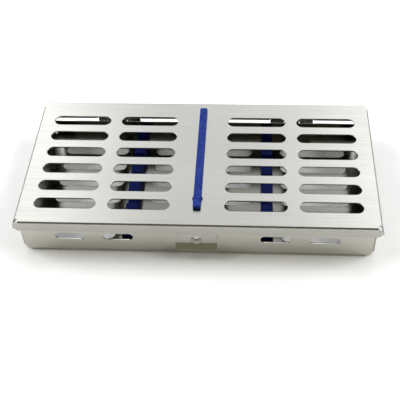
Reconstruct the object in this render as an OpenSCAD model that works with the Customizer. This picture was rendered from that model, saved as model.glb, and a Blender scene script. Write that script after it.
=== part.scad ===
// Hinged instrument cassette: a folded steel tray and a folded steel lid, both slotted,
// with silicone strips that grip five instruments lying along the case.
// Units are millimetres. X runs along the case, -Y is the latch side, +Y is the hinge side,
// and z = 0 is the surface that the case stands on.

/* [Case] */
// Width of the lid across its side bends
case_w = 180; // [170:1:200]
// Depth of the lid from front face to back face
case_d = 90.4; // [86:0.2:100]
// Height of the lid top above the tray underside
case_h = 22; // [21:0.5:26]
// Thickness of the steel sheet
sheet = 0.7; // [0.5:0.1:0.8]
// Outer radius of the bends in the sheet
bend_r = 1.0; // [0.9:0.1:1.2]

/* [Lid] */
// Depth of the lid's front and side flanges
lid_flange_h = 6.1; // [4:0.1:8]
// Depth of the lid's back flange
lid_back_h = 11.4; // [10:0.1:12]
// Outward lean of the side flanges, in degrees
lid_flare = 13; // [0:1:15]
// Radius of the lid's two back corners
lid_corner_r = 4.7; // [3:0.1:8]
// Distance of the front flange's ends from the lid's sides
lid_end_in = 0.3; // [0.2:0.1:0.6]
// Radius of the front flange's two lower corners
lid_end_r = 2; // [0.5:0.1:3]
// Diameter of the round relief holes at the two front corners
lid_relief_d = 2.6; // [1.5:0.1:4]
// Distance of those holes from the lid's front and side faces
lid_relief_in = 1.1; // [0.8:0.1:1.3]
// Gap between two walls where they meet at a corner
corner_gap = 0.25; // [0.1:0.05:0.4]

/* [Vent slots] */
// Number of slot rows in the lid and in the tray floor
slot_rows = 6; // [3:1:6]
// Distance between slot rows
slot_pitch = 12.3; // [10:0.1:13]
// Width of a vent slot
slot_w = 6.9; // [4:0.1:8]
// Length of a lid slot
lid_slot_len = 31.2; // [20:0.1:34]
// Middle of the inner and outer lid slot columns, from the centre
lid_slot_x = [29.1, 66.2]; // [20:0.1:70]
// Shift of the lid slot rows towards the hinge
lid_slot_shift = -0.95; // [-3:0.05:3]
// Ends of the inner tray slots, from the centre
tray_inner_x = [3, 26.9]; // [2:0.1:30]
// Ends of the outer tray slots, from the centre
tray_outer_x = [42.6, 78.3]; // [40:0.1:82]
// Shift of the tray slot rows towards the hinge
tray_slot_shift = -2; // [-3:0.5:3]

/* [Tray] */
// Gap between the tray's front wall and the lid's front flange
front_gap = 0.8; // [0.7:0.1:1.2]
// Gap between a tray side wall and the top of a lid side flange
side_gap = 1.3; // [0.8:0.1:2]
// Height of the tray's front wall
front_wall_h = 20.2; // [18:0.1:20.4]
// Height of the tray's side walls
side_wall_h = 21; // [18:0.1:21]
// Height of the tray's back wall
back_wall_h = 8.3; // [6:0.1:9]
// Size of the bevel that opens each bottom corner
corner_cut = 3.7; // [2:0.1:5]
// Length and height of a front wall slot
front_slot = [15, 4.5]; // [3:0.1:18]
// Middle of the front wall slots, from the centre
front_slot_x = [39.1, 63.1]; // [24:0.1:75]
// Height of the front wall slots above the tray underside
front_slot_z = 10.8; // [8:0.1:14]

/* [Latch] */
// Width of the latch tongue
tongue_w = 20.5; // [12:0.5:30]
// Height above the tray underside at which the tongue starts to bend out
tongue_bend_z = 9.8; // [8:0.1:12]
// Length of the straight part of the lip
lip_len = 3.69; // [2:0.01:5]
// Outward lean of the lip, in degrees
lip_lean = 45; // [20:1:60]
// Diameter of the catch hole in the tongue
catch_hole_d = 5.3; // [4:0.1:6]
// Height of the catch hole above the tray underside
catch_z = 11.25; // [10:0.05:13]
// Diameter of the boss that is pressed out of the tray's front wall
boss_d = 4.2; // [3:0.1:5]
// Height of that boss
boss_h = 0.62; // [0.3:0.01:0.65]

/* [Silicone] */
// Width of the gripping body of a strip
strip_w = 6; // [5:0.1:8]
// Width of the retaining flange of a strip, on the far side of the sheet
strip_flange_w = 4; // [3:0.1:6]
// Width of the web that passes through the sheet
strip_web_w = 1.5; // [1:0.1:2.5]
// Height of the lid strip's flange above the lid
lid_strip_proud = 2; // [1:0.1:3]
// Depth of the lid strip's body below the lid
lid_strip_drop = 9.5; // [6:0.1:10]
// Front and back ends of the lid strip
lid_strip_y = [-34.5, 39.2]; // [-36:0.1:40]
// Centre of the keyhole that the lid strip is threaded through
keyhole_y = -27.3; // [-30:0.1:-25]
// Diameter of the keyholes
keyhole_d = 5.1; // [4.4:0.1:6]
// Distance of each tray rail from the centre
rail_x = 35; // [33:0.1:37]
// Height of a rail above the tray floor
rail_h = 8; // [6:0.1:9]
// Length of a rail
rail_len = 80; // [70:1:80]
// Thickness of the rail flange under the tray, which is the foot it stands on
foot_h = 0.5; // [0.4:0.1:2]
// Number of instrument notches in a rail
notch_count = 5; // [3:1:5]
// Distance between notches
notch_pitch = 15; // [14:0.5:16]
// Width and depth of a notch
notch = [7, 4.6]; // [3:0.1:8]

/* [Hinge] */
// Distance of the two hinges from the centre
hinge_x = 49.1; // [40:0.1:60]
// Length of one hinge
hinge_len = 24; // [20:0.5:30]
// Diameter of the hinge pin
pin_d = 2; // [1.5:0.1:2]
// Play between the pin and the lid's knuckles, on the radius
pin_play = 0.05; // [0.02:0.01:0.1]
// Play between the pin and the tray's knuckle, on the radius
pin_grip = 0.02; // [0.01:0.01:0.05]
// Gap beside and below a knuckle
knuckle_gap = 0.4; // [0.3:0.1:0.6]
// Width and height of the slits cut in the lid beside each hinge
tab_slit = [0.5, 1.2]; // [0.3:0.1:2]

/* [Hidden] */
$fn = 48;

steel = "silver";
steel_lip = "darkgray";
silicone = "royalblue";

eps = 0.01;
over = 1;
through = 4 * over;
bend_steps = 8;

under_z = foot_h;
floor_z = under_z + sheet;
top_z = under_z + case_h;
half_w = case_w / 2;
half_d = case_d / 2;
tray_half_w = half_w - sheet - side_gap;
tray_front = half_d - sheet - front_gap;
back_inner = half_d - sheet;
back_half_w = half_w - lid_corner_r;
front_half_w = half_w - lid_end_in;

// The knuckles are rolled outwards, so the sheet's inner face is tangent to their barrel.
knuckle_r = pin_d / 2 + pin_play + sheet;
axis_y = back_inner + knuckle_r;
lid_back_z = top_z - lid_back_h;
tray_back_z = under_z + back_wall_h;
axis_z = (lid_back_z + tray_back_z) / 2;
tray_knuckle_w = hinge_len / 3;
lid_knuckle_w = (hinge_len - tray_knuckle_w) / 2 - knuckle_gap;
lid_knuckle_x = (hinge_len - lid_knuckle_w) / 2;

tongue_root_gap = 0.1;
tongue_mid = half_d - sheet / 2;
boss_r = (pow(boss_d / 2, 2) + pow(boss_h, 2)) / (2 * boss_h);
web_play = 0.1;
web_end = 3.3;
web_lead = 1;
web_slot_end = 3;
rail_keyhole_y = -rail_len / 2 + keyhole_d;
notch_r = notch[0] / 2;

function arc(r, from, to) =
    [for (i = [0:bend_steps]) let (a = from + (to - from) * i / bend_steps) [r * cos(a), r * sin(a)]];

function shifted(points, by) = [for (p = points) p + by];

// Outline of a bend and its flange. The flat sheet's top is at y = 0 and ends at x = 0,
// and the flange reaches down to y = -depth, leaning out by lean degrees.
function flange_outline(depth, lean) =
    let (leg = (depth - bend_r * (1 - sin(lean))) / cos(lean),
         run = leg * [sin(lean), -cos(lean)],
         centre = [0, -bend_r],
         outer = shifted(arc(bend_r, 90, lean), centre),
         inner = shifted(arc(bend_r - sheet, lean, 90), centre))
    concat(outer, [outer[bend_steps] + run, inner[0] + run], inner);

// A flange that runs along Y and faces +X, with its sheet's edge at x = 0.
module flange_x(len, depth, lean = 0) {
    translate([0, len / 2, 0]) rotate([90, 0, 0]) linear_extrude(len) polygon(flange_outline(depth, lean));
}

// A flange that runs along X and faces +Y, with its sheet's edge at y = 0.
module flange_y(len, depth) {
    translate([-len / 2, 0, 0]) rotate([90, 0, 90]) linear_extrude(len) polygon(flange_outline(depth, 0));
}

// A slot with round ends, along X and cut through Z.
module slot(len, width, depth) {
    cube([len - width, width, depth], center = true);
    for (s = [-1, 1]) translate([s * (len - width) / 2, 0, 0]) cylinder(d = width, h = depth, center = true);
}

// Rows of slots between two distances from the centre, on both sides.
module slot_columns(ends, shift) {
    for (row = [0:slot_rows - 1])
        for (s = [-1, 1])
            translate([s * (ends[0] + ends[1]) / 2, shift + slot_pitch * (row - (slot_rows - 1) / 2), 0])
                slot(ends[1] - ends[0], slot_w, through);
}

// The slot that a strip's web passes through, with the keyhole at its front end.
module strip_slot(y_key, y_back) {
    web = strip_web_w + 2 * web_play;
    translate([-web / 2, y_key, -over]) cube([web, y_back - y_key, through]);
    translate([0, y_key, -over]) cylinder(d = keyhole_d, h = through);
}

// Knuckles of one hinge: each is a rolled barrel joined to a tab of the wall.
module knuckle(width, tab_z) {
    translate([-width / 2, axis_y, axis_z]) rotate([0, 90, 0]) cylinder(r = knuckle_r, h = width);
    translate([-width / 2, back_inner, min(tab_z, axis_z)]) cube([width, sheet, abs(tab_z - axis_z)]);
}

module knuckle_bore(bore_r) {
    translate([-hinge_len / 2 - over, axis_y, axis_z]) rotate([0, 90, 0])
        cylinder(r = bore_r, h = hinge_len + 2 * over);
}

// Clears the wall next to a knuckle of the other half.
module knuckle_relief(width, z_from, z_to) {
    translate([-width / 2 - knuckle_gap, back_inner - over, z_from])
        cube([width + 2 * knuckle_gap, sheet + 2 * over, z_to - z_from]);
}

// Clears everything beyond a plane that cuts a corner of a box at equal distances.
module corner_bevel() {
    block = 10 * corner_cut;
    rotate([0, acos(-1 / sqrt(3)), 45]) translate([-block / 2, -block / 2, -corner_cut / sqrt(3)])
        cube([block, block, block / 2]);
}

// Rounds the lower outer corner of the lid's front flange.
module end_round() {
    translate([front_half_w - lid_end_r, -back_inner + eps, top_z - lid_flange_h + lid_end_r])
        rotate([90, 0, 0]) mirror([0, 1, 0]) linear_extrude(sheet + over) difference() {
            square(lid_end_r + over);
            circle(lid_end_r);
        }
}

module base_tray() {
    floor_w = 2 * (tray_half_w - bend_r);
    floor_d = tray_front + half_d - 2 * bend_r;
    side_front = -tray_front + sheet + corner_gap;
    color(steel) difference() {
        union() {
            translate([-floor_w / 2, -tray_front + bend_r, under_z]) cube([floor_w, floor_d, sheet]);
            translate([0, -tray_front + bend_r, under_z]) mirror([0, 0, 1]) mirror([0, 1, 0])
                flange_y(2 * (tray_half_w - sheet - corner_gap), front_wall_h);
            translate([0, half_d - bend_r, under_z]) mirror([0, 0, 1])
                flange_y(2 * (tray_half_w - sheet), back_wall_h);
            for (s = [0, 1]) mirror([s, 0, 0])
                translate([tray_half_w - bend_r, (side_front + half_d) / 2, under_z]) mirror([0, 0, 1])
                    flange_x(half_d - side_front, side_wall_h);
            translate([0, -tray_front + boss_r - boss_h, under_z + catch_z]) intersection() {
                sphere(r = boss_r);
                translate([0, -boss_r, 0])
                    cube([2 * boss_d, 2 * boss_h + sheet, 2 * boss_d], center = true);
            }
            for (s = [-1, 1]) translate([s * hinge_x, 0, 0]) knuckle(tray_knuckle_w, tray_back_z - eps);
        }
        translate([0, 0, floor_z]) slot_columns(tray_inner_x, tray_slot_shift);
        translate([0, 0, floor_z]) slot_columns(tray_outer_x, tray_slot_shift);
        for (s = [-1, 1]) translate([s * rail_x, 0, under_z])
            strip_slot(rail_keyhole_y, rail_len / 2 - web_slot_end);
        for (s = [-1, 1]) for (x = front_slot_x)
            translate([s * x, -tray_front, under_z + front_slot_z]) rotate([90, 0, 0])
                slot(front_slot[0], front_slot[1], through);
        translate([0, -tray_front + boss_r - boss_h, under_z + catch_z]) sphere(r = boss_r - sheet);
        for (s = [-1, 1]) translate([s * hinge_x, 0, 0]) {
            knuckle_bore(pin_d / 2 + pin_grip);
            for (k = [-1, 1]) translate([k * lid_knuckle_x, 0, 0])
                knuckle_relief(lid_knuckle_w, tray_back_z - knuckle_gap, axis_z + knuckle_r);
        }
        for (sx = [0, 1]) mirror([sx, 0, 0]) {
            translate([tray_half_w, half_d, under_z]) corner_bevel();
            translate([tray_half_w, -tray_front, under_z]) mirror([0, 1, 0]) corner_bevel();
        }
    }
}

module lid_cover() {
    plate_w = 2 * (half_w - bend_r);
    plate_d = 2 * (half_d - bend_r);
    side_front = -back_inner + corner_gap;
    side_back = half_d - lid_corner_r;
    color(steel) difference() {
        union() {
            translate([-plate_w / 2, -plate_d / 2, top_z - sheet])
                cube([plate_w, plate_d / 2 + side_back, sheet]);
            translate([-back_half_w, side_back - over, top_z - sheet])
                cube([2 * back_half_w, plate_d / 2 - side_back + over, sheet]);
            translate([0, -plate_d / 2, top_z]) mirror([0, 1, 0])
                flange_y(2 * front_half_w, lid_flange_h);
            translate([0, plate_d / 2, top_z]) flange_y(2 * back_half_w, lid_back_h);
            for (s = [0, 1]) mirror([s, 0, 0]) {
                translate([plate_w / 2, (side_front + side_back) / 2, top_z])
                    flange_x(side_back - side_front, lid_flange_h, lid_flare);
                translate([back_half_w, side_back, top_z - sheet]) rotate_extrude(angle = 90)
                    square([lid_corner_r, sheet]);
            }
            for (s = [-1, 1]) for (k = [-1, 1]) translate([s * hinge_x + k * lid_knuckle_x, 0, 0])
                knuckle(lid_knuckle_w, lid_back_z + eps);
        }
        for (x = lid_slot_x) translate([0, 0, top_z])
            slot_columns([x - lid_slot_len / 2, x + lid_slot_len / 2], lid_slot_shift);
        translate([0, 0, top_z - sheet]) strip_slot(keyhole_y, lid_strip_y[1] - web_slot_end);
        for (s = [0, 1]) mirror([s, 0, 0]) {
            translate([half_w - lid_relief_in, -half_d + lid_relief_in, top_z - lid_relief_d])
                cylinder(d = lid_relief_d, h = lid_relief_d + over);
            end_round();
        }
        for (s = [-1, 1]) translate([s * hinge_x, 0, 0]) {
            knuckle_bore(pin_d / 2 + pin_play);
            knuckle_relief(tray_knuckle_w, axis_z - knuckle_r, lid_back_z + knuckle_gap);
            for (k = [0, 1]) mirror([k, 0, 0])
                translate([hinge_len / 2, back_inner - over, lid_back_z - over])
                    cube([tab_slit[0], sheet + 2 * over, tab_slit[1] + over]);
        }
    }
}

// Section of the tongue: straight down, then a bend and a lip that leans out.
// side is +1 for the face towards the tray and -1 for the outer face.
function tongue_side(side) =
    let (rho = bend_r,
         z_bend = under_z + tongue_bend_z,
         end = [-tongue_mid - rho * (1 - cos(lip_lean)), z_bend - rho * sin(lip_lean)]
               + lip_len * [-sin(lip_lean), -cos(lip_lean)])
    concat([[-tongue_mid + side * sheet / 2, top_z - lid_flange_h - tongue_root_gap]],
           [for (i = [0:bend_steps]) let (a = lip_lean * i / bend_steps, r = rho + side * sheet / 2)
                [-tongue_mid - rho + r * cos(a), z_bend - r * sin(a)]],
           [end + side * sheet / 2 * [cos(lip_lean), -sin(lip_lean)]]);

function reversed(points) = [for (i = [len(points) - 1:-1:0]) points[i]];

module latch_tongue() {
    color(steel_lip) difference() {
        translate([-tongue_w / 2, 0, 0]) rotate([90, 0, 90]) linear_extrude(tongue_w)
            polygon(concat(tongue_side(-1), reversed(tongue_side(1))));
        translate([0, -half_d, under_z + catch_z]) rotate([90, 0, 0])
            cylinder(d = catch_hole_d, h = through, center = true);
    }
}

// A strip lies along Y. Its body is on the inner side of the sheet and its flange on the
// outer side, and z runs from the sheet's outer face towards the body.
module strip(y_ends, body_h, flange_h, y_web) {
    len = y_ends[1] - y_ends[0];
    translate([-strip_w / 2, y_ends[0], sheet]) cube([strip_w, len, body_h]);
    translate([-strip_flange_w / 2, y_ends[0], -flange_h]) cube([strip_flange_w, len, flange_h]);
    translate([-strip_web_w / 2, y_web[0], -eps]) cube([strip_web_w, y_web[1] - y_web[0], sheet + 2 * eps]);
}

module lid_strip() {
    color(silicone) translate([0, 0, top_z]) mirror([0, 0, 1])
        strip(lid_strip_y, lid_strip_drop, lid_strip_proud,
              [keyhole_y - web_lead, lid_strip_y[1] - web_end]);
}

// A rail with its row of notches. Each notch has straight sides and a round bottom.
module rail() {
    rail_top = floor_z + rail_h;
    notch_z = rail_top - notch[1] + notch_r;
    color(silicone) difference() {
        translate([0, 0, under_z])
            strip([-rail_len / 2, rail_len / 2], rail_h, foot_h,
                  [rail_keyhole_y - web_lead, rail_len / 2 - web_end]);
        for (i = [0:notch_count - 1]) translate([0, notch_pitch * (i - (notch_count - 1) / 2), notch_z]) {
            rotate([0, 90, 0]) cylinder(r = notch_r, h = strip_w + over, center = true);
            translate([-strip_w, -notch_r, 0]) cube([2 * strip_w, notch[0], notch_r + over]);
        }
    }
}

module left_rail() {
    translate([-rail_x, 0, 0]) rail();
}

module right_rail() {
    translate([rail_x, 0, 0]) rail();
}

module hinge_pin() {
    pin_len = hinge_len - knuckle_gap;
    color(steel) translate([-pin_len / 2, axis_y, axis_z]) rotate([0, 90, 0])
        cylinder(d = pin_d, h = pin_len);
}

module left_hinge_pin() {
    translate([-hinge_x, 0, 0]) hinge_pin();
}

module right_hinge_pin() {
    translate([hinge_x, 0, 0]) hinge_pin();
}

base_tray();
lid_cover();
latch_tongue();
lid_strip();
left_rail();
right_rail();
left_hinge_pin();
right_hinge_pin();
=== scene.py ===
import math

import bmesh
import bpy
import numpy as np
from mathutils import Matrix, Vector
from mathutils.geometry import delaunay_2d_cdt


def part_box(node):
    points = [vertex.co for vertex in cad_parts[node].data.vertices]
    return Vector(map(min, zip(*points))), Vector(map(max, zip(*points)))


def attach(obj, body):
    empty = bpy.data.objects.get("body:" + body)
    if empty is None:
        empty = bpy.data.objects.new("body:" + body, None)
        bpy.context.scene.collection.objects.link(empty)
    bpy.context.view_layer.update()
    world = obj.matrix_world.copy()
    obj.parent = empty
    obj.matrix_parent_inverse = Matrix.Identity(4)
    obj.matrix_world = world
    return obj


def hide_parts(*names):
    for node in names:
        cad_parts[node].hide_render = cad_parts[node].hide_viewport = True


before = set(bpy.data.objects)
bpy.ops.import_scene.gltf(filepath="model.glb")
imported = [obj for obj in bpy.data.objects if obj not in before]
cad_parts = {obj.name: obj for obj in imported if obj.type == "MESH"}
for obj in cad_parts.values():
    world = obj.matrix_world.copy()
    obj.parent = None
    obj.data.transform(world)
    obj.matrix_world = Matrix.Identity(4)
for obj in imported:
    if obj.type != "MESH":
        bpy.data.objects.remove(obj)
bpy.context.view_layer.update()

# ---------------------------------------------------------------- sizes, in millimetres
MM = 0.001

# The sheet and its bends
SHEET = 0.7
BEND_R = 1.0                        # outside a bend
MID_R = BEND_R - SHEET / 2          # along the middle of the sheet
QUARTER = MID_R * math.pi / 2       # length of a right-angled bend, along the middle
BEND_CUTS = 9
ROLL_CUTS = 34
ROLL_FROM = 100.0   # degrees: a bend that turns further is a roll
RIM = 0.13          # how far the sheet's round rims reach in
SHARP_RIM = 0.03    # share of it that is left where two sheets meet
MITRE_LIMIT = 0.8   # keeps the mitre of a sharp corner short
CORNER_GAP = 0.25   # between two walls that meet at a corner

# The case
TOP_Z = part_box("lid_cover")[1].z / MM
UNDER_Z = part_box("base_tray")[0].z / MM
HALF_W = 90.0
HALF_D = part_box("latch_tongue")[1].y / -MM + SHEET

# The lid's flanges
LID_FLANGE = 6.1
LID_FLARE = 13.0    # degrees
LID_CORNER_R = 4.7
RELIEF_R = 1.3
RELIEF_IN = 1.1
LID_END_IN = 0.3

# The vent slots, each column as (middle, length) on both sides of the case
SLOT_ROWS = 6
SLOT_PITCH = 12.3
SLOT_W = 6.9
LID_SLOTS = ((29.1, 31.2), (66.2, 31.2))
LID_SLOT_SHIFT = -0.95
TRAY_SLOTS = ((14.95, 23.9), (60.45, 35.7))
TRAY_SLOT_SHIFT = -2.0

# The tray's walls
TRAY_HALF_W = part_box("base_tray")[1].x / MM
TRAY_FRONT = 43.7
FRONT_WALL_Z = 20.7
SIDE_WALL_Z = 21.5
BACK_WALL_Z = 8.8
BACK_WALL_GAP = 0.02
CORNER_CUT = 3.7
FRONT_SLOT_X = (39.1, 63.1)
FRONT_SLOT_Z = 11.3
FRONT_SLOT_L = 15.0
FRONT_SLOT_W = 4.5

# The tongue, its catch hole and the boss behind it
TONGUE_W = 20.5
TONGUE_BEND_Z = 10.3
ROOT_GAP = 0.045
LIP_LEN = 3.69
LIP_LEAN = 45.0     # degrees
CATCH_Z = 11.75
CATCH_HOLE_R = 2.65
BOSS_R = 2.1
BOSS_H = 0.62
BOSS_SKIRT = 0.45
BOSS_HOLE_R = 1.9

# The silicone strips: a web through the sheet joins what shows outside to the grip inside
WEB_SLOT_W = 1.7
WEB_W = 1.5
WEB_OVER = 0.1      # how far a web runs past the sheet on each side
WEB_END_IN = 3.3
RAIL_WEB_IN = 4.1
LID_WEB_LEAD = 1
SLOT_END_IN = 3
KEYHOLE_R = 2.55
GRIP_W = 6.0
LID_KEYHOLE_Y = -27.3
LID_STRIP_Y = (-34.5, 39.2)
LID_STRIP_W = 4.0
LID_STRIP_H = 2.0
LID_GRIP_H = 9.5
RAIL_X = 35.0
RAIL_HALF = 40.0
RAIL_FOOT_W = 4.0
RAIL_H = 8.0
NOTCH_PITCH = 15.0
NOTCH_R = 3.5
NOTCH_DEPTH = 4.6

# The hinges
HINGE_X = 49.1
AXIS_Y = 46.25
AXIS_Z = 9.95
ROLL_R = 1.4
ROLL_TURN = 298.0   # degrees
LID_BACK_Z = 11.1
TRAY_KNUCKLE_W = 8.0
LID_KNUCKLE = (8.2, 7.6)    # each one's distance from the hinge's middle, and its width
KNUCKLE_GAP = 0.4
TRAY_NOTCH = 0.22   # depth of the notches under the lid's knuckles

# Texture coordinates per millimetre of sheet
UV_PER_MM = 0.01


# ---------------------------------------------------------------- outlines
def arc(centre, radius, start, end, steps):
    """Points on an arc, angles in degrees."""
    angles = [math.radians(start + (end - start) * i / steps) for i in range(steps + 1)]
    return [(centre[0] + radius * math.cos(a), centre[1] + radius * math.sin(a)) for a in angles]


def rounded(corners, steps=4):
    """A closed outline from corners (u, v) or (u, v, radius), each radius turned into an arc."""
    out = []
    count = len(corners)
    for i, corner in enumerate(corners):
        here = Vector(corner[:2])
        radius = corner[2] if len(corner) > 2 else 0.0
        if radius <= 0:
            out.append(tuple(here))
            continue
        to_last = (Vector(corners[i - 1][:2]) - here).normalized()
        to_next = (Vector(corners[(i + 1) % count][:2]) - here).normalized()
        half = to_last.angle(to_next) / 2
        reach = radius / math.tan(half)
        centre = here + (to_last + to_next).normalized() * (radius / math.sin(half))
        first = here + to_last * reach - centre
        turn = first.angle_signed(here + to_next * reach - centre)
        for k in range(steps + 1):
            spun = first.copy()
            spun.rotate(Matrix.Rotation(-turn * k / steps, 2))
            out.append(tuple(centre + spun))
    return out


def stadium(u, v, length, width, steps=12):
    """A slot with round ends, as a hole."""
    r = width / 2
    right = arc((u + length / 2 - r, v), r, 90, -90, steps)
    left = arc((u - length / 2 + r, v), r, -90, -270, steps)
    return right + left


def circle_hole(u, v, radius, steps):
    return arc((u, v), radius, 0, -360, steps)[:-1]


def keyhole(u, v_key, v_back):
    """A web slot along v with its round keyhole at the front end, as a hole."""
    half = WEB_SLOT_W / 2
    lift = math.degrees(math.asin(half / KEYHOLE_R))
    ring = arc((u, v_key), KEYHOLE_R, 90 - lift, -270 + lift, 28)
    return [(u - half, v_back), (u + half, v_back)] + ring


def slot_rows(columns, shift):
    """The vent slots of one sheet, as holes."""
    holes = []
    for row in range(SLOT_ROWS):
        v = shift + SLOT_PITCH * (row - (SLOT_ROWS - 1) / 2)
        for middle, length in columns:
            for side in (-1, 1):
                holes.append(stadium(side * middle, v, length, SLOT_W))
    return holes


def mirrored(points):
    """The same outline on the other side of u = 0, in the order that carries it on."""
    out = []
    for p in reversed(points):
        out.append((-p[0],) + tuple(p[1:]))
    return out


# ---------------------------------------------------------------- sheets with rounded rims
def mitres(points):
    """For each point, the vector that moves both its edges out by one, and the unit normal."""
    pts = np.array(points)
    step = np.roll(pts, -1, 0) - pts
    step /= np.linalg.norm(step, axis=1)[:, None]
    out = np.stack([step[:, 1], -step[:, 0]], 1)
    both = out + np.roll(out, 1, 0)
    length = np.linalg.norm(both, axis=1)[:, None]
    unit = both / length
    return unit * 2 / np.maximum(length, MITRE_LIMIT), unit


def inside(points, loops):
    """Which points are inside an odd number of loops."""
    x, y = points[:, 0][:, None], points[:, 1][:, None]
    odd = np.zeros(len(points), bool)
    for loop in loops:
        a = np.array(loop)
        b = np.roll(a, -1, 0)
        crosses = (a[:, 1] > y) != (b[:, 1] > y)
        with np.errstate(divide="ignore", invalid="ignore"):
            at = (b[:, 0] - a[:, 0]) * (y - a[:, 1]) / (b[:, 1] - a[:, 1]) + a[:, 0]
        odd ^= (crosses & (x < at)).sum(1) % 2 == 1
    return odd


def blank(loops, thickness=SHEET, rim=RIM, steps=3, sharp=None):
    """A flat solid from an outer loop and its holes, with round rims.
    sharp says of a point whether its rim stays sharp, where another sheet joins it."""
    bm = bmesh.new()
    normal = bm.verts.layers.float_vector.new("flat_normal")
    wear = bm.verts.layers.float.new("rim")
    angles = [90 - 90 * k / steps for k in range(steps + 1)]
    angles += [-90 * k / steps for k in range(steps + 1)]
    top, bottom, flat = [], [], []
    for loop in loops:
        pts = np.array(loop)
        out, unit = mitres(loop)
        keep = np.array([SHARP_RIM if sharp and sharp(*p) else 1.0 for p in loop])[:, None]
        rings = []
        for k, degrees in enumerate(angles):
            a = math.radians(degrees)
            inset = rim * keep * (1 - math.cos(a))
            drop = rim * keep * (1 - abs(math.sin(a)))
            face = math.copysign(1, a if k <= steps else -1)
            heights = face * (thickness / 2 - drop)
            ring = []
            for p, t, n in zip(pts - inset * out, heights[:, 0], unit):
                v = bm.verts.new((p[0], p[1], t))
                v[normal] = Vector((n[0] * math.cos(a), n[1] * math.cos(a), math.sin(a)))
                v[wear] = 1.0 if 0 < k < len(angles) - 1 else 0.0
                ring.append(v)
            rings.append(ring)
        for upper, lower in zip(rings, rings[1:]):
            for i in range(len(loop)):
                j = (i + 1) % len(loop)
                bm.faces.new((upper[i], lower[i], lower[j], upper[j]))
        flat.append([(v.co.x, v.co.y) for v in rings[0]])
        top += rings[0]
        bottom += rings[-1]
    edges, start = [], 0
    for loop in flat:
        edges += [(start + i, start + (i + 1) % len(loop)) for i in range(len(loop))]
        start += len(loop)
    coords = [Vector(p) for loop in flat for p in loop]
    verts, _, faces, origin, _, _ = delaunay_2d_cdt(coords, edges, [], 0, 1e-6)
    middles = np.array([sum((verts[i] for i in f), Vector((0, 0))) / 3 for f in faces])
    for f, kept in zip(faces, inside(middles, flat)):
        if kept:
            ids = [origin[i][0] for i in f]
            bm.faces.new([top[i] for i in ids])
            bm.faces.new([bottom[i] for i in reversed(ids)])
    return bm


def cut(bm, axis, places):
    """Cuts the flat sheet across, so that it can bend there."""
    normal = Vector((1, 0, 0)) if axis == 0 else Vector((0, 1, 0))
    for place in places:
        geom = bm.verts[:] + bm.edges[:] + bm.faces[:]
        bmesh.ops.bisect_plane(bm, geom=geom, dist=1e-6, plane_co=normal * place, plane_no=normal)


class Path:
    """The middle line of a sheet across its bends, from where the first bend starts.
    Each piece is a straight length or an arc (radius, degrees), left turns positive."""

    def __init__(self, begin, at, pieces, heading=0.0):
        self.begin = begin
        self.runs = []
        a, b = at
        s = 0.0
        for piece in pieces:
            if isinstance(piece, tuple):
                radius, turn = piece
                length = radius * abs(math.radians(turn))
            else:
                radius, turn, length = None, 0.0, piece
            self.runs.append((s, length, a, b, heading, radius, turn))
            a, b, heading = self.follow(self.runs[-1], length)
            s += length
        self.length = s

    @staticmethod
    def follow(run, d):
        _, _, a, b, heading, radius, turn = run
        h = math.radians(heading)
        if radius is None:
            return a + d * math.cos(h), b + d * math.sin(h), heading
        side = math.copysign(1, turn)
        now = h + side * d / radius
        a += side * radius * (math.sin(now) - math.sin(h))
        b -= side * radius * (math.cos(now) - math.cos(h))
        return a, b, math.degrees(now)

    def at(self, s):
        for run in reversed(self.runs):
            if s >= run[0] or run is self.runs[0]:
                return self.follow(run, s - run[0])

    def cuts(self):
        places = []
        for start, length, _, _, _, radius, turn in self.runs:
            if radius is None:
                continue
            count = BEND_CUTS if abs(turn) < ROLL_FROM else ROLL_CUTS
            places += [self.begin + start + length * i / count for i in range(count + 1)]
        return places


def place_piece(name, mesh, material, body, nodes):
    mesh.materials.append(material)
    obj = bpy.data.objects.new(name, mesh)
    bpy.context.scene.collection.objects.link(obj)
    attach(obj, body)
    if nodes:
        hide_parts(*nodes)


def make_mesh(bm, name, fold, material, body, nodes):
    """Folds the flat sheet by fold(u, v) -> (place, u axis, v axis, t axis) and makes the piece."""
    normal = bm.verts.layers.float_vector["flat_normal"]
    wear = bm.verts.layers.float["rim"]
    normals, flat_uv, rims, painted_shade_side = [], [], [], []
    bm.verts.ensure_lookup_table()
    for v in bm.verts:
        u, w, t = v.co
        place, au, av, at = fold(u, w)
        n = v[normal]
        normals.append((au * n.x + av * n.y + at * n.z).normalized())
        flat_uv.append((u, w))
        rims.append(v[wear])
        # Marks the sheet's upper face, where a material may paint shade; for the tray this is its inside
        painted_shade_side.append(1.0 if t > 0 else 0.0)
        v.co = (place + at * t) * MM
    mesh = bpy.data.meshes.new(name)
    bm.to_mesh(mesh)
    bm.free()
    for layer in ("flat_normal", "rim"):
        if layer in mesh.attributes:
            mesh.attributes.remove(mesh.attributes[layer])
    for layer, values in (("rim", rims), ("upper", painted_shade_side)):
        mesh.attributes.new(layer, "FLOAT", "POINT").data.foreach_set("value", values)
    uv = mesh.uv_layers.new(name="flat")
    ids = np.zeros(len(mesh.loops), int)
    mesh.loops.foreach_get("vertex_index", ids)
    uv.data.foreach_set("uv", (np.array(flat_uv)[ids] * UV_PER_MM).ravel())
    mesh.shade_smooth()
    mesh.normals_split_custom_set_from_vertices(normals)
    place_piece(name, mesh, material, body, nodes)


def fold_along(path, s, sign, other, across):
    """Where a point lands that is s along a path. across 0 folds in x, 1 in y."""
    a, b, heading = path.at(s)
    h = math.radians(heading)
    if across == 0:
        place = Vector((sign * a, other, b))
        au = Vector((math.cos(h), 0, sign * math.sin(h)))
        at = Vector((-sign * math.sin(h), 0, math.cos(h)))
        return place, au, Vector((0, 1, 0)), at
    place = Vector((other, sign * a, b))
    av = Vector((0, math.cos(h), sign * math.sin(h)))
    at = Vector((0, -sign * math.sin(h), math.cos(h)))
    return place, Vector((1, 0, 0)), av, at


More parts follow.
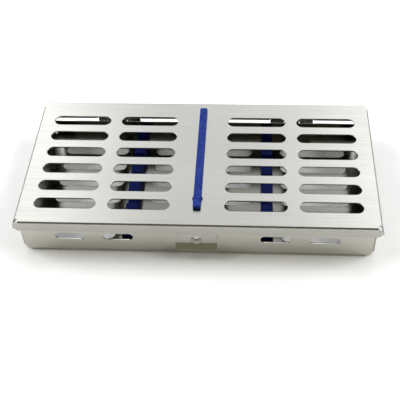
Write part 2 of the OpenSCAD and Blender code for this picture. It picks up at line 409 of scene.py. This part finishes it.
# ---------------------------------------------------------------- materials
def nodes_of(name):
    """A new material, its node tree and its main shader."""
    mat = bpy.data.materials.new(name)
    mat.use_nodes = True
    tree = mat.node_tree
    return mat, tree, tree.nodes["Principled BSDF"]


def add(tree, kind, **sockets):
    """A new node. A name that starts with _ sets a property, and __ in a socket's name is a space."""
    node = tree.nodes.new(kind)
    for key, value in sockets.items():
        if key.startswith("_"):
            setattr(node, key[1:], value)
        else:
            node.inputs[key.replace("__", " ")].default_value = value
    return node


def mapped(tree, source, output, scale):
    node = add(tree, "ShaderNodeMapping", Scale=scale)
    tree.links.new(source.outputs[output], node.inputs["Vector"])
    return node


def noise(tree, vector, scale, detail, roughness):
    node = add(tree, "ShaderNodeTexNoise", Scale=scale, Detail=detail, Roughness=roughness)
    tree.links.new(vector.outputs[0], node.inputs["Vector"])
    return node


def ramp(tree, source, stops, output="Fac"):
    node = tree.nodes.new("ShaderNodeValToRGB")
    tree.links.new(source.outputs[output], node.inputs["Fac"])
    elements = node.color_ramp.elements
    while len(elements) < len(stops):
        elements.new(0.5)
    for element, (place, value) in zip(elements, stops):
        element.position = place
        shade = value if isinstance(value, tuple) else (value, value, value)
        element.color = (*shade, 1.0)
    return node


def mix(tree, kind, factor, a, b):
    """Mixes two colours: a and b are nodes, and factor is a node or a number."""
    node = add(tree, "ShaderNodeMix", _data_type="RGBA", _blend_type=kind)
    if isinstance(factor, (int, float)):
        node.inputs[0].default_value = factor
    else:
        tree.links.new(factor.outputs[0], node.inputs[0])
    tree.links.new(a.outputs[2 if a.bl_idname == "ShaderNodeMix" else 0], node.inputs[6])
    tree.links.new(b.outputs[2 if b.bl_idname == "ShaderNodeMix" else 0], node.inputs[7])
    return node


# How often the marks in the steel repeat, along the grain and across it
GRAIN_SCALE = (3.0, 900.0, 1.0)
STREAK_SCALE = (2.0, 260.0, 1.0)
CLOUD_SCALE = (1.6, 2.4, 1.0)
GRAIN_BUMP = 0.25
EVEN_SCALE = (1.0, 1.0, 1.0)
SPECK_SCALE = 1700.0
PATCH_SCALE = 160.0


def brushed_steel(name, shade, tint, rough, upper=1.0):
    """Brushed stainless: grain along u, cloudy handling marks, polished rims.
    upper is the share of its brightness that the sheet's upper face keeps; below 1 it is painted shade on
    that face."""
    mat, tree, bsdf = nodes_of(name)
    uv = add(tree, "ShaderNodeUVMap", _uv_map="flat")
    grain = noise(tree, mapped(tree, uv, "UV", GRAIN_SCALE), 1.0, 3.0, 0.7)
    streak = noise(tree, mapped(tree, uv, "UV", STREAK_SCALE), 1.0, 4.0, 0.6)
    cloud = noise(tree, mapped(tree, uv, "UV", CLOUD_SCALE), 1.0, 3.0, 0.5)
    rim = add(tree, "ShaderNodeAttribute", _attribute_name="rim")

    dark = tuple(shade * 0.93 * c for c in tint)
    light = tuple(min(1.0, shade * 1.06 * c) for c in tint)
    base = ramp(tree, streak, [(0.25, dark), (0.75, light)])
    fine = ramp(tree, grain, [(0.2, 0.88), (0.8, 1.0)])
    toned = mix(tree, "MULTIPLY", 1.0, base, fine)
    smoky = ramp(tree, cloud, [(0.3, 0.93), (0.7, 1.0)])
    cloudy = mix(tree, "MULTIPLY", 1.0, toned, smoky)
    # Painted shade: the sheet's upper face is darkened by the share upper
    face = add(tree, "ShaderNodeAttribute", _attribute_name="upper")
    colour = mix(tree, "MULTIPLY", 1.0, cloudy, ramp(tree, face, [(0.0, 1.0), (1.0, upper)]))
    tree.links.new(colour.outputs[2], bsdf.inputs["Base Color"])

    rough_map = ramp(tree, streak, [(0.25, rough + 0.03), (0.75, rough - 0.02)])
    shine = add(tree, "ShaderNodeMapRange", From__Min=0.0, From__Max=1.0, To__Min=1.0, To__Max=0.6)
    tree.links.new(rim.outputs["Fac"], shine.inputs["Value"])
    polished = add(tree, "ShaderNodeMath", _operation="MULTIPLY")
    tree.links.new(rough_map.outputs[0], polished.inputs[0])
    tree.links.new(shine.outputs[0], polished.inputs[1])
    tree.links.new(polished.outputs[0], bsdf.inputs["Roughness"])

    bump = add(tree, "ShaderNodeBump", Strength=GRAIN_BUMP, Distance=0.00002)
    tree.links.new(grain.outputs["Fac"], bump.inputs["Height"])
    tree.links.new(bump.outputs[0], bsdf.inputs["Normal"])
    tangent = add(tree, "ShaderNodeTangent", _direction_type="UV_MAP", _uv_map="flat")
    tree.links.new(tangent.outputs[0], bsdf.inputs["Tangent"])
    bsdf.inputs["Metallic"].default_value = 1.0
    bsdf.inputs["Anisotropic"].default_value = 0.6
    bsdf.inputs["Anisotropic Rotation"].default_value = 0.25
    return mat


def silicone(name, shade, speck):
    """Blue silicone rubber with a fine matt grain and pale specks. shade scales its blues; below 1 it makes
    a copy with painted shade.
    """
    mat, tree, bsdf = nodes_of(name)
    where = tree.nodes.new("ShaderNodeTexCoord")
    fine = noise(tree, mapped(tree, where, "Object", EVEN_SCALE), SPECK_SCALE, 3.0, 0.8)
    broad = noise(tree, mapped(tree, where, "Object", EVEN_SCALE), PATCH_SCALE, 2.0, 0.5)
    deep = tuple(shade * c for c in (0.001, 0.008, 0.10))
    blue = tuple(shade * c for c in (0.003, 0.018, 0.19))
    base = ramp(tree, fine, [(0.36, deep), (0.52, blue), (0.66, speck)])
    patchy = ramp(tree, broad, [(0.3, 0.86), (0.7, 1.0)])
    colour = mix(tree, "MULTIPLY", 1.0, base, patchy)
    tree.links.new(colour.outputs[2], bsdf.inputs["Base Color"])
    rough = ramp(tree, fine, [(0.3, 0.55), (0.7, 0.75)])
    tree.links.new(rough.outputs[0], bsdf.inputs["Roughness"])
    bsdf.inputs["Specular IOR Level"].default_value = 0.12
    bump = add(tree, "ShaderNodeBump", Strength=0.35, Distance=0.00008)
    tree.links.new(fine.outputs["Fac"], bump.inputs["Height"])
    tree.links.new(bump.outputs[0], bsdf.inputs["Normal"])
    return mat


LID_STEEL = brushed_steel("lid_steel", 0.45, (1.0, 0.985, 0.90), 0.24)
# The tray's inner faces get painted shade: upper=0.44 darkens them for the shade inside the closed case
TRAY_STEEL = brushed_steel("tray_steel", 0.55, (1.0, 0.975, 0.87), 0.16, upper=0.44)
LATCH_STEEL = brushed_steel("latch_steel", 0.47, (1.0, 0.98, 0.88), 0.2)
PIN_STEEL = brushed_steel("pin_steel", 0.62, (1.0, 0.99, 0.97), 0.25)
BLUE = silicone("blue_silicone", 1.0, (0.07, 0.13, 0.45))
# A darker copy of the same silicone: painted shade for the rails and the lid strip's grip inside the case
BLUE_PAINTED_SHADE = silicone("blue_silicone_painted_shade", 0.6, (0.003, 0.018, 0.16))


# ---------------------------------------------------------------- lid
def make_lid():
    bend_u = HALF_W - BEND_R
    bend_v = HALF_D - BEND_R
    mid_z = TOP_Z - SHEET / 2
    flare = math.radians(LID_FLARE)
    lean_leg = (LID_FLANGE - BEND_R * (1 - math.sin(flare))) / math.cos(flare)
    side = Path(bend_u, (bend_u, mid_z), [(MID_R, LID_FLARE - 90), lean_leg])
    front = Path(bend_v, (bend_v, mid_z), [(MID_R, -90), LID_FLANGE - BEND_R])
    back = Path(bend_v, (bend_v, mid_z), [(MID_R, -90), mid_z - MID_R - AXIS_Z, (ROLL_R, ROLL_TURN)])

    side_u = bend_u + side.length
    front_v = -bend_v - front.length
    back_z0 = bend_v + QUARTER + mid_z - MID_R
    edge_v = back_z0 - LID_BACK_Z
    roll_v = bend_v + back.length
    notch_v = edge_v - KNUCKLE_GAP
    slit_depth = 1.2
    slit_v = edge_v - slit_depth
    flat_back_v = HALF_D - LID_CORNER_R
    corner_u = HALF_W - LID_CORNER_R
    slit = 0.2
    nick = 0.1

    hole = (HALF_W - RELIEF_IN, -HALF_D + RELIEF_IN)
    flange_end = HALF_W - LID_END_IN
    meet = math.degrees(math.acos((flange_end - hole[0]) / RELIEF_R))
    side_front_v = -HALF_D + SHEET + CORNER_GAP
    leave = math.degrees(math.asin((side_front_v - hole[1]) / RELIEF_R))
    relief = arc(hole, RELIEF_R, -meet, -360 + leave, 26)
    knuckle_mid, knuckle_w = LID_KNUCKLE
    tab_out = HINGE_X + knuckle_mid + knuckle_w / 2
    tab_in = HINGE_X - knuckle_mid - knuckle_w / 2
    gap_out = HINGE_X + knuckle_mid - knuckle_w / 2
    gap_in = HINGE_X - knuckle_mid + knuckle_w / 2
    slit_w = 0.5
    end_r = 2.0
    side_r = 1.2
    back_r = 1.0
    tab_r = 0.2
    start = math.degrees(math.asin(slit / LID_CORNER_R))
    right = [(TONGUE_W / 2, front_v), (flange_end, front_v, end_r)]
    right += relief
    right += [
        (side_u, side_front_v, side_r), (side_u, flat_back_v, side_r),
        (bend_u - nick, flat_back_v), (bend_u - nick, flat_back_v + slit),
    ]
    right += arc((corner_u, flat_back_v), LID_CORNER_R, start, 90 - start, 12)
    right += [
        (corner_u + slit, bend_v - nick), (corner_u, bend_v - nick), (corner_u, edge_v, back_r),
        (tab_out + slit_w, edge_v, tab_r), (tab_out + slit_w, slit_v, tab_r),
        (tab_out, slit_v, tab_r), (tab_out, roll_v, tab_r),
        (gap_out, roll_v, tab_r), (gap_out, notch_v, tab_r),
        (gap_in, notch_v, tab_r), (gap_in, roll_v, tab_r),
        (tab_in, roll_v, tab_r), (tab_in, slit_v, tab_r),
        (tab_in - slit_w, slit_v, tab_r), (tab_in - slit_w, edge_v, tab_r),
    ]
    outer = rounded(right + mirrored(right))
    holes = slot_rows(LID_SLOTS, LID_SLOT_SHIFT)
    holes.append(keyhole(0.0, LID_KEYHOLE_Y, LID_STRIP_Y[1] - SLOT_END_IN))

    def root(u, v):
        return abs(u) < TONGUE_W / 2 + 0.01 and abs(v - front_v) < 0.01

    bm = blank([outer] + holes, sharp=root)
    cut(bm, 0, side.cuts() + [-p for p in side.cuts()])
    cut(bm, 1, [-p for p in front.cuts()] + back.cuts())

    def fold(u, v):
        on_side = abs(u) > hole[0] + 0.9 * RELIEF_R and v > side_front_v - 0.01
        if v < -bend_v and not on_side:
            return fold_along(front, -v - bend_v, -1, u, 1)
        if v > bend_v and abs(u) < corner_u + slit / 2:
            return fold_along(back, v - bend_v, 1, u, 1)
        if abs(u) > bend_u and v < flat_back_v + slit / 2:
            return fold_along(side, abs(u) - bend_u, math.copysign(1, u), v, 0)
        return Vector((u, v, mid_z)), Vector((1, 0, 0)), Vector((0, 1, 0)), Vector((0, 0, 1))

    make_mesh(bm, "lid", fold, LID_STEEL, "lid", ["lid_cover"])


# ---------------------------------------------------------------- tongue
def make_tongue():
    mid_y = HALF_D - SHEET / 2
    root_z = TOP_Z - LID_FLANGE
    path = Path(0.0, (mid_y, root_z), [root_z - TONGUE_BEND_Z, (BEND_R, LIP_LEAN), LIP_LEN], heading=-90.0)
    half = TONGUE_W / 2
    end = path.length
    lip_r = 0.7
    outer = rounded([(-half, -end, lip_r), (half, -end, lip_r), (half, -ROOT_GAP), (-half, -ROOT_GAP)])
    hole = circle_hole(0.0, CATCH_Z - root_z, CATCH_HOLE_R, 40)

    def root(u, v):
        return abs(v + ROOT_GAP) < 0.01

    bm = blank([outer, hole], rim=0.16, sharp=root)
    cut(bm, 1, [-p for p in path.cuts()])

    def fold(u, v):
        return fold_along(path, -v, -1, u, 1)

    make_mesh(bm, "tongue", fold, LATCH_STEEL, "latch", ["latch_tongue"])


# ---------------------------------------------------------------- tray
def make_tray():
    bend_u = TRAY_HALF_W - BEND_R
    front_v = TRAY_FRONT - BEND_R
    back_v = HALF_D - BEND_R
    mid_z = UNDER_Z + SHEET / 2
    wall_z0 = mid_z + MID_R
    side = Path(bend_u, (bend_u, mid_z), [(MID_R, 90), SIDE_WALL_Z - wall_z0])
    front = Path(front_v, (front_v, mid_z), [(MID_R, 90), FRONT_WALL_Z - wall_z0])
    back = Path(back_v, (back_v, mid_z), [(MID_R, 90), AXIS_Z - wall_z0, (ROLL_R, -ROLL_TURN)])

    def wall(bend, z):
        return bend + QUARTER + z - wall_z0

    wall_u = TRAY_HALF_W - SHEET - CORNER_GAP
    back_wall_u = TRAY_HALF_W - SHEET - BACK_WALL_GAP
    side_front = -TRAY_FRONT + SHEET + CORNER_GAP
    side_back = HALF_D
    low_z = UNDER_Z + CORNER_CUT - (TRAY_HALF_W - wall_u)
    low_back_z = UNDER_Z + CORNER_CUT - (TRAY_HALF_W - back_wall_u)
    low_side_z = UNDER_Z + CORNER_CUT - (TRAY_FRONT + side_front)
    inner = CORNER_CUT - BEND_R
    roll_v = back_v + back.length
    edge_v = wall(back_v, BACK_WALL_Z)
    notch_v = edge_v - TRAY_NOTCH
    knuckle_mid, knuckle_w = LID_KNUCKLE
    out_a = HINGE_X + knuckle_mid + knuckle_w / 2 + KNUCKLE_GAP
    out_b = HINGE_X + TRAY_KNUCKLE_W / 2
    in_b = HINGE_X - TRAY_KNUCKLE_W / 2
    in_a = HINGE_X - knuckle_mid - knuckle_w / 2 - KNUCKLE_GAP
    wall_r = 1.0
    cut_r = 0.25
    back_r = 0.3
    relief_r = 0.15
    tab_r = 0.2
    right = [
        (wall_u, -front_v - front.length, wall_r), (wall_u, -wall(front_v, low_z), cut_r),
        (TRAY_HALF_W - inner, -front_v, cut_r), (bend_u, -TRAY_FRONT + inner, cut_r),
        (wall(bend_u, low_side_z), side_front, cut_r), (bend_u + side.length, side_front, wall_r),
        (bend_u + side.length, side_back, wall_r), (wall(bend_u, UNDER_Z + CORNER_CUT), side_back, cut_r),
        (bend_u, HALF_D - inner, cut_r), (TRAY_HALF_W - inner, back_v, cut_r),
        (back_wall_u, wall(back_v, low_back_z), cut_r), (back_wall_u, edge_v, back_r),
        (out_a, edge_v, relief_r), (out_a, notch_v, relief_r),
        (out_b, notch_v, tab_r), (out_b, roll_v, tab_r), (in_b, roll_v, tab_r), (in_b, notch_v, tab_r),
        (in_a, notch_v, relief_r), (in_a, edge_v, relief_r),
    ]
    outer = rounded(right + mirrored(right))
    holes = slot_rows(TRAY_SLOTS, TRAY_SLOT_SHIFT)
    for s in (-1, 1):
        holes.append(keyhole(s * RAIL_X, -RAIL_HALF + 2 * KEYHOLE_R, RAIL_HALF - SLOT_END_IN))
        for x in FRONT_SLOT_X:
            holes.append(stadium(s * x, -wall(front_v, FRONT_SLOT_Z), FRONT_SLOT_L, FRONT_SLOT_W))
    holes.append(circle_hole(0.0, -wall(front_v, CATCH_Z), BOSS_HOLE_R, 24))
    bm = blank([outer] + holes)
    cut(bm, 0, side.cuts() + [-p for p in side.cuts()])
    cut(bm, 1, [-p for p in front.cuts()] + back.cuts())

    def fold(u, v):
        if v < -front_v and abs(u) < wall_u + 0.02:
            return fold_along(front, -v - front_v, -1, u, 1)
        if v > back_v and abs(u) < back_wall_u + 0.01:
            return fold_along(back, v - back_v, 1, u, 1)
        if abs(u) > bend_u:
            return fold_along(side, abs(u) - bend_u, math.copysign(1, u), v, 0)
        return Vector((u, v, mid_z)), Vector((1, 0, 0)), Vector((0, 1, 0)), Vector((0, 0, 1))

    make_mesh(bm, "tray", fold, TRAY_STEEL, "tray", ["base_tray"])


def turned(name, profile, place, axis, material, body, nodes, steps=40):
    """Turns a profile of (radius, along) round an axis, x or y, through place."""
    bm = bmesh.new()
    rings = []
    for k in range(steps):
        a = 2 * math.pi * k / steps
        ring = []
        for radius, along in profile:
            p, q = radius * math.cos(a), radius * math.sin(a)
            off = Vector((along, p, q)) if axis == "x" else Vector((p, along, q))
            ring.append(bm.verts.new((Vector(place) + off) * MM))
        rings.append(ring)
    for k in range(steps):
        here, after = rings[k], rings[(k + 1) % steps]
        for i in range(len(profile) - 1):
            bm.faces.new((here[i], here[i + 1], after[i + 1], after[i]))
    bmesh.ops.remove_doubles(bm, verts=bm.verts[:], dist=1e-8)
    bmesh.ops.recalc_face_normals(bm, faces=bm.faces[:])
    mesh = bpy.data.meshes.new(name)
    bm.to_mesh(mesh)
    bm.free()
    mesh.attributes.new("rim", "FLOAT", "POINT")
    uv = mesh.uv_layers.new(name="flat")
    for loop in mesh.loops:
        co = mesh.vertices[loop.vertex_index].co / MM
        uv.data[loop.index].uv = (co.x * UV_PER_MM, co.z * UV_PER_MM)
    mesh.shade_smooth()
    place_piece(name, mesh, material, body, nodes)


def make_catch_boss():
    """The dome pressed out of the tray's front wall: a smooth skirt that runs into a round top."""
    dome_r = (BOSS_R ** 2 + BOSS_H ** 2) / (2 * BOSS_H)
    reach = math.degrees(math.asin(BOSS_R / dome_r))
    outer = [(BOSS_R + BOSS_SKIRT, 0.01), (BOSS_R + 0.3, -0.01), (BOSS_R + 0.12, -0.05)]
    outer += [(dome_r * math.sin(math.radians(a)), dome_r * (1 - math.cos(math.radians(a))) - BOSS_H)
              for a in np.linspace(reach * 0.93, 0.0, 12)]
    depth = SHEET * 0.9
    inner = [(max(r - 0.25, 0.0), y + depth) for r, y in reversed(outer[3:])]
    profile = outer + inner + [(BOSS_R + BOSS_SKIRT, depth)]
    turned("catch_boss", profile, (0.0, -TRAY_FRONT, CATCH_Z), "y", TRAY_STEEL, "tray", [])


def make_pin(name, x):
    """A cut length of drawn wire with rounded ends."""
    half, radius, edge = 11.8, 1.0, 0.3
    end = [(0.0, half)] + [(radius - edge + edge * math.sin(a), half - edge + edge * math.cos(a))
                           for a in np.linspace(0.0, math.pi / 2, 7)]
    profile = end + [(r, -h) for r, h in reversed(end)]
    turned(name + "_wire", profile, (x, AXIS_Y, AXIS_Z), "x", PIN_STEEL, "tray", [name], 28)


# ---------------------------------------------------------------- silicone
def upright(x):
    """Stands a flat solid up in the y-z plane at x."""
    def fold(u, v):
        return Vector((x, u, v)), Vector((0, 1, 0)), Vector((0, 0, 1)), Vector((1, 0, 0))
    return fold


def level(x, z):
    """Lays a flat solid down at height z, its u along y."""
    def fold(u, v):
        return Vector((x - v, u, z)), Vector((0, 1, 0)), Vector((-1, 0, 0)), Vector((0, 0, 1))
    return fold


def bar(name, ends, width, z, height, x, body, nodes, rim, corner, material):
    """A soft bar along y, with rounded ends and edges."""
    a, b = ends
    loop = rounded([(a, -width / 2, corner), (b, -width / 2, corner), (b, width / 2, corner),
                    (a, width / 2, corner)], 6)
    bm = blank([loop], height, rim, 5)
    make_mesh(bm, name, level(x, z + height / 2), material, body, nodes)


def make_rail(name, x):
    low = UNDER_Z + SHEET
    top = low + RAIL_H
    notch_z = top - NOTCH_DEPTH + NOTCH_R
    foot_r, top_r, lip_r = 0.8, 1.2, 0.6
    corners = [(-RAIL_HALF, low, foot_r), (RAIL_HALF, low, foot_r), (RAIL_HALF, top, top_r)]
    for k in (2, 1, 0, -1, -2):
        y = NOTCH_PITCH * k
        corners.append((y + NOTCH_R, top, lip_r))
        corners += arc((y, notch_z), NOTCH_R, 0, -180, 16)
        corners.append((y - NOTCH_R, top, lip_r))
    corners.append((-RAIL_HALF, top, top_r))
    points = rounded(corners, 5)
    bm = blank([points], GRIP_W, 0.45, 4)
    # The grip inside the tray takes the silicone with painted shade
    make_mesh(bm, name + "_grip", upright(x), BLUE_PAINTED_SHADE, "tray", [name])
    bar(name + "_foot", (-RAIL_HALF, RAIL_HALF), RAIL_FOOT_W, 0.0, UNDER_Z, x, "tray", [], 0.2, 0.8, BLUE)
    bar(name + "_web", (-RAIL_HALF + RAIL_WEB_IN, RAIL_HALF - WEB_END_IN), WEB_W, UNDER_Z - WEB_OVER,
        SHEET + 2 * WEB_OVER, x, "tray", [], 0.05, 0.3, BLUE_PAINTED_SHADE)


def make_lid_strip():
    inner_z = TOP_Z - SHEET
    bar("lid_strip_top", LID_STRIP_Y, LID_STRIP_W, TOP_Z, LID_STRIP_H, 0.0, "lid", ["lid_strip"], 0.6, 0.9,
        BLUE)
    bar("lid_strip_web", (LID_KEYHOLE_Y - LID_WEB_LEAD, LID_STRIP_Y[1] - WEB_END_IN), WEB_W,
        inner_z - WEB_OVER, SHEET + 2 * WEB_OVER, 0.0, "lid", [], 0.05, 0.3, BLUE)
    # The grip under the lid takes the silicone with painted shade
    bar("lid_strip_grip", LID_STRIP_Y, GRIP_W, inner_z - LID_GRIP_H, LID_GRIP_H, 0.0, "lid", [], 0.9, 1.0,
        BLUE_PAINTED_SHADE)


make_lid()
make_tongue()
make_tray()
make_rail("left_rail", -RAIL_X)
make_rail("right_rail", RAIL_X)
make_lid_strip()
make_catch_boss()
make_pin("left_hinge_pin", -HINGE_X)
make_pin("right_hinge_pin", HINGE_X)


# ---------------------------------------------------------------- floor, light, camera
# The dome's brightness. Heights run from the horizon (0) to straight up (1).
WORLD_FRONT = [(0.0, 0.008), (0.25, (0.05, 0.0485, 0.036)), (0.42, 0.008), (0.56, 0.008),
               (0.66, (0.06, 0.057, 0.04)), (0.76, (0.06, 0.057, 0.04)), (0.86, 0.008), (1.0, 0.008)]
WORLD_BACK = [(0.0, 0.02), (0.15, 0.06), (0.35, 0.315), (0.6, 0.485), (0.72, 0.42), (0.85, 0.345),
              (0.93, 0.135), (0.97, 0.008)]
WORLD_COOL = (0.94, 0.96, 1.0)
# Across the back, from left (0) to right (1), and from the front half to the back half.
WORLD_BANDS = [(0.0, 0.2), (0.12, 0.4), (0.20, 1.0), (0.25, 0.96), (0.285, 0.76), (0.33, 0.57), (0.38, 0.50),
               (0.46, 0.50), (0.54, 0.55), (0.60, 0.64), (0.64, 0.80), (0.74, 1.0), (0.88, 0.4), (1.0, 0.2)]
WORLD_TURN = [(0.48, 0.0), (0.58, 1.0)]
# Two overhead softboxes, left and right: out from the middle, and from front to back.
BOX_ACROSS = [(0.52, 0.0), (0.60, 0.76), (0.94, 0.76), (0.98, 0.0)]
BOX_DEPTH = [(0.40, 0.0), (0.45, 1.0), (0.68, 1.0), (0.76, 0.0)]
WORLD_STRENGTH = 7.5

# The floor, in metres
FLOOR_SIZE = 60.0
FLOOR_DROP = 0.00002

# The camera: angles in degrees, where it looks at the lid and how far off, and the lens and sensor
CAMERA_AZIMUTH = 5.076
CAMERA_ELEVATION = 47.376
CAMERA_ROLL = -2.746
CAMERA_TARGET = (1.345, -28.109)
CAMERA_DISTANCE = 395.85
CAMERA_LENS = 71.72
CAMERA_SENSOR = 36.0


def make_floor():
    bpy.ops.mesh.primitive_plane_add(size=FLOOR_SIZE, location=(0, 0, -FLOOR_DROP))
    floor = bpy.context.object
    floor.name = "floor"
    mat, _, bsdf = nodes_of("floor")
    bsdf.inputs["Base Color"].default_value = (0.93, 0.93, 0.93, 1.0)
    bsdf.inputs["Roughness"].default_value = 0.9
    floor.data.materials.append(mat)


def make_world():
    """A soft dome: bright behind, dim and a little warm in front, with two softboxes overhead."""
    world = bpy.data.worlds.new("studio")
    bpy.context.scene.world = world
    world.use_nodes = True
    tree = world.node_tree
    where = tree.nodes.new("ShaderNodeTexCoord")
    parts = tree.nodes.new("ShaderNodeSeparateXYZ")
    tree.links.new(where.outputs["Generated"], parts.inputs[0])
    depth = add(tree, "ShaderNodeMapRange", From__Min=-1.0, From__Max=1.0)
    across = add(tree, "ShaderNodeMapRange", From__Min=-0.5, From__Max=0.5)
    height = add(tree, "ShaderNodeMapRange", From__Min=0.0, From__Max=1.0)
    for part, node in (("X", across), ("Y", depth), ("Z", height)):
        tree.links.new(parts.outputs[part], node.inputs["Value"])
    cool = [(place, tuple(value * c for c in WORLD_COOL)) for place, value in WORLD_BACK]
    back = mix(tree, "MULTIPLY", 1.0, ramp(tree, height, cool, "Result"),
               ramp(tree, across, WORLD_BANDS, "Result"))
    front = ramp(tree, height, WORLD_FRONT, "Result")
    dome = mix(tree, "MIX", ramp(tree, depth, WORLD_TURN, "Result"), front, back)
    aside = add(tree, "ShaderNodeMath", _operation="ABSOLUTE")
    tree.links.new(parts.outputs["X"], aside.inputs[0])
    boxes = mix(tree, "MULTIPLY", 1.0, ramp(tree, aside, BOX_ACROSS, "Value"),
                ramp(tree, depth, BOX_DEPTH, "Result"))
    colour = mix(tree, "ADD", 1.0, dome, boxes)
    background = tree.nodes["Background"]
    tree.links.new(colour.outputs[2], background.inputs["Color"])
    background.inputs["Strength"].default_value = WORLD_STRENGTH


def make_camera():
    azimuth = math.radians(CAMERA_AZIMUTH)
    elevation = math.radians(CAMERA_ELEVATION)
    roll = math.radians(CAMERA_ROLL)
    back = Vector((math.sin(azimuth) * math.cos(elevation), -math.cos(azimuth) * math.cos(elevation),
                   math.sin(elevation)))
    level_right = Vector((0, 0, 1)).cross(back).normalized()
    level_up = back.cross(level_right)
    right = math.cos(roll) * level_right + math.sin(roll) * level_up
    up = back.cross(right)
    place = (Vector((*CAMERA_TARGET, TOP_Z)) + back * CAMERA_DISTANCE) * MM
    data = bpy.data.cameras.new("camera")
    data.sensor_width = CAMERA_SENSOR
    data.lens = CAMERA_LENS
    data.clip_start = 0.01
    cam = bpy.data.objects.new("camera", data)
    bpy.context.scene.collection.objects.link(cam)
    cam.matrix_world = Matrix((
        (right.x, up.x, back.x, place.x),
        (right.y, up.y, back.y, place.y),
        (right.z, up.z, back.z, place.z),
        (0, 0, 0, 1)))
    bpy.context.scene.camera = cam


make_floor()
make_world()
make_camera()
bpy.context.scene.view_settings.view_transform = "Standard"
